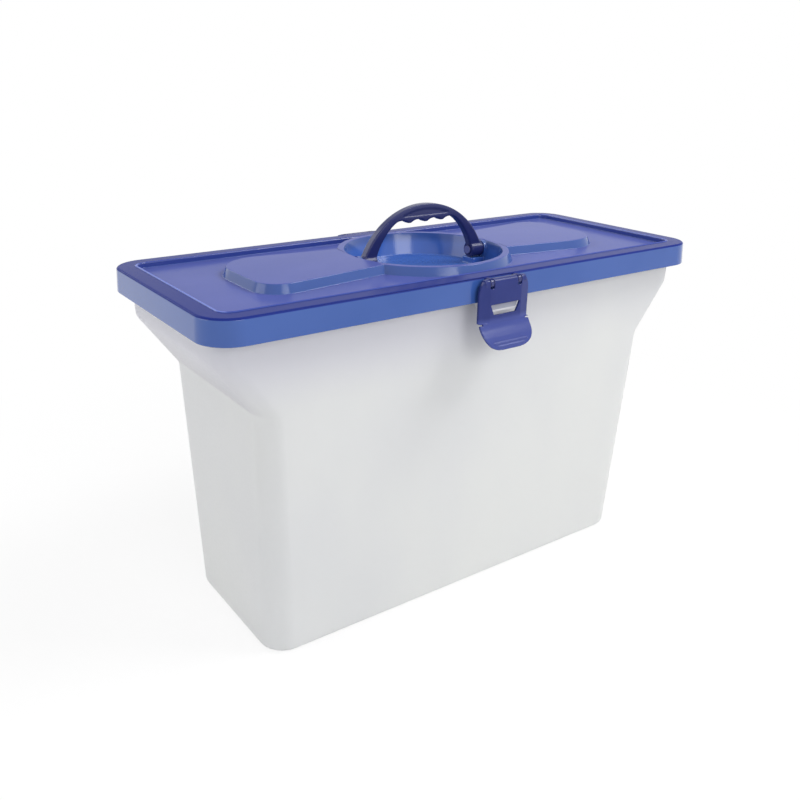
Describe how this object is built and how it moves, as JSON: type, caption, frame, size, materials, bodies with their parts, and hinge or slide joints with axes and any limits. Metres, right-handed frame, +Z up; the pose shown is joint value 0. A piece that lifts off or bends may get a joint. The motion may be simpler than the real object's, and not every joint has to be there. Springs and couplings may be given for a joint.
{
  "type": "portable file box",
  "caption": "Deep translucent storage box for hanging files with a latched lift-off lid and a fold-down arch handle.",
  "frame": {"origin": "centre of the overall box at the floor", "axes": "+Z up, +X along the long side, the shown latch faces -Y"},
  "size_m": [0.44, 0.2158, 0.305],
  "materials": {
    "tub_plastic": "frosted natural polypropylene, softly translucent",
    "lid_plastic": "translucent royal blue polypropylene, semi-gloss",
    "handle_plastic": "dark navy polypropylene, semi-gloss",
    "latch_plastic": "dark blue polypropylene, semi-gloss",
    "pin_plastic": "plain moulded pin",
    "rod_steel": "drawn wire"
  },
  "bodies": {
    "tub": {"tub": "tub_plastic"},
    "lid": {"lid": "lid_plastic", "handle_pin_left": "pin_plastic", "handle_pin_right": "pin_plastic", "front_latch_pin": "rod_steel", "back_latch_pin": "rod_steel"},
    "handle": {"handle": "handle_plastic"},
    "front_latch": {"front_latch": "latch_plastic"},
    "back_latch": {"back_latch": "latch_plastic"}
  },
  "joints": [
    {"name": "lid_lift", "type": "slide", "parent": "tub", "child": "lid", "axis": [0, 0, 1], "range_m": [0, 0.3]},
    {"name": "handle_fold", "type": "hinge", "parent": "lid", "child": "handle", "pos_m": [0, 0, 0.264], "axis": [1, 0, 0], "range_deg": [-88, 88]},
    {"name": "front_latch_hinge", "type": "hinge", "parent": "lid", "child": "front_latch", "pos_m": [0, -0.0955, 0.2638], "axis": [-1, 0, 0], "range_deg": [0, 110]},
    {"name": "back_latch_hinge", "type": "hinge", "parent": "lid", "child": "back_latch", "pos_m": [0, 0.0955, 0.2638], "axis": [1, 0, 0], "range_deg": [0, 110]}
  ]
}
